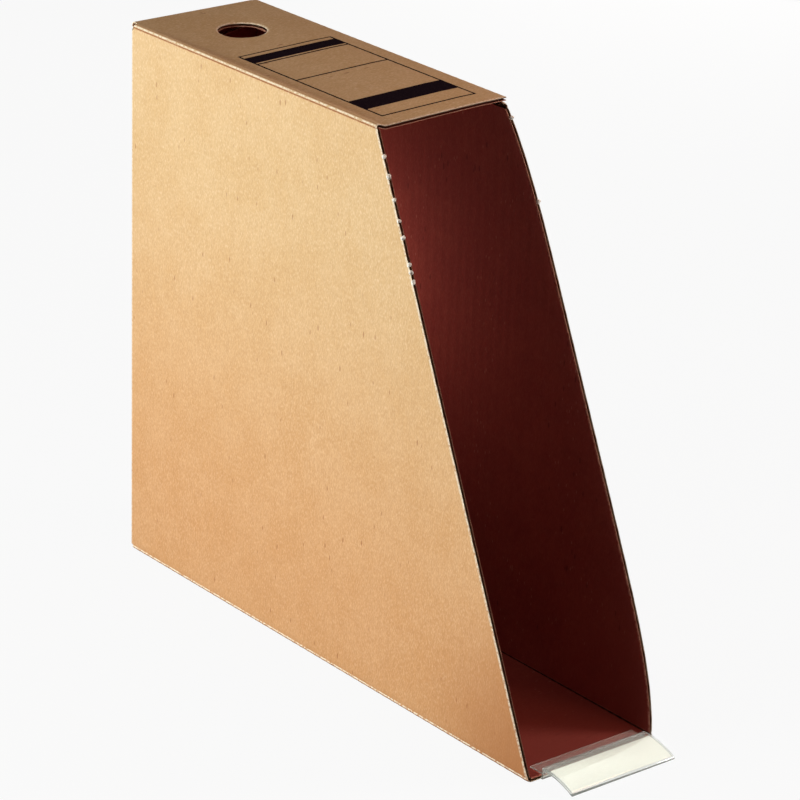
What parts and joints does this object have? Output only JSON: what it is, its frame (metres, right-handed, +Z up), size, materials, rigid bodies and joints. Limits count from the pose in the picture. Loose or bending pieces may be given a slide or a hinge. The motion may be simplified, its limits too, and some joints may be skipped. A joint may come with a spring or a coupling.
{
  "type": "magazine file",
  "caption": "Corrugated cardboard magazine file with a slanted open front, finger hole, printed label field, tuck-in back closure and clip-on clear label holder.",
  "frame": {"origin": "centre of the underside of the floor panel, on the surface the file stands on", "axes": "+Z up; the open slanted front with the label holder faces -Y; +X is to the right seen from the front"},
  "size_m": [0.0879, 0.3525, 0.29],
  "materials": {
    "kraft_liner": "matte",
    "fluting_medium": "matte",
    "inner_kraft_liner": "matte",
    "clear_plastic": "gloss",
    "white_card": "matte"
  },
  "bodies": {
    "sleeve": {"floor_outer_liner": "kraft_liner", "floor_fluting": "fluting_medium", "floor_inner_liner": "inner_kraft_liner", "left_side_outer_liner": "kraft_liner", "left_side_fluting": "fluting_medium", "left_side_inner_liner": "inner_kraft_liner", "top_outer_liner": "kraft_liner", "top_fluting": "fluting_medium", "top_inner_liner": "inner_kraft_liner", "right_side_outer_liner": "kraft_liner", "right_side_fluting": "fluting_medium", "right_side_inner_liner": "inner_kraft_liner", "glue_flap_outer_liner": "kraft_liner", "glue_flap_fluting": "fluting_medium", "glue_flap_inner_liner": "inner_kraft_liner"},
    "back_panel": {"back_outer_liner": "kraft_liner", "back_fluting": "fluting_medium", "back_inner_liner": "inner_kraft_liner"},
    "tuck_flap": {"tuck_flap_outer_liner": "kraft_liner", "tuck_flap_fluting": "fluting_medium", "tuck_flap_inner_liner": "inner_kraft_liner"},
    "left_dust_flap": {"left_dust_flap_outer_liner": "kraft_liner", "left_dust_flap_fluting": "fluting_medium", "left_dust_flap_inner_liner": "inner_kraft_liner"},
    "right_dust_flap": {"right_dust_flap_outer_liner": "kraft_liner", "right_dust_flap_fluting": "fluting_medium", "right_dust_flap_inner_liner": "inner_kraft_liner"},
    "label_holder": {"label_holder": "clear_plastic"},
    "label_card": {"label_card": "white_card"}
  },
  "joints": [
    {"name": "back_hinge", "type": "hinge", "parent": "sleeve", "child": "back_panel", "pos_m": [0, 0.165, 0.29], "axis": [1, 0, 0], "range_deg": [0, 180]},
    {"name": "tuck_flap_hinge", "type": "hinge", "parent": "back_panel", "child": "tuck_flap", "pos_m": [0, 0.1625, 0.0054], "axis": [-1, 0, 0], "range_deg": [0, 12]},
    {"name": "left_dust_flap_hinge", "type": "hinge", "parent": "sleeve", "child": "left_dust_flap", "pos_m": [-0.0375, 0.1596, 0.1465], "axis": [0, 0, -1], "range_deg": [0, 85]},
    {"name": "right_dust_flap_hinge", "type": "hinge", "parent": "sleeve", "child": "right_dust_flap", "pos_m": [0.0375, 0.1596, 0.1465], "axis": [0, 0, 1], "range_deg": [0, 85]},
    {"name": "label_holder_slide", "type": "slide", "parent": "sleeve", "child": "label_holder", "axis": [0, -1, 0], "range_m": [0, 0.03]},
    {"name": "label_card_slide", "type": "slide", "parent": "label_holder", "child": "label_card", "axis": [1, 0, 0], "range_m": [-0.065, 0.065]}
  ]
}
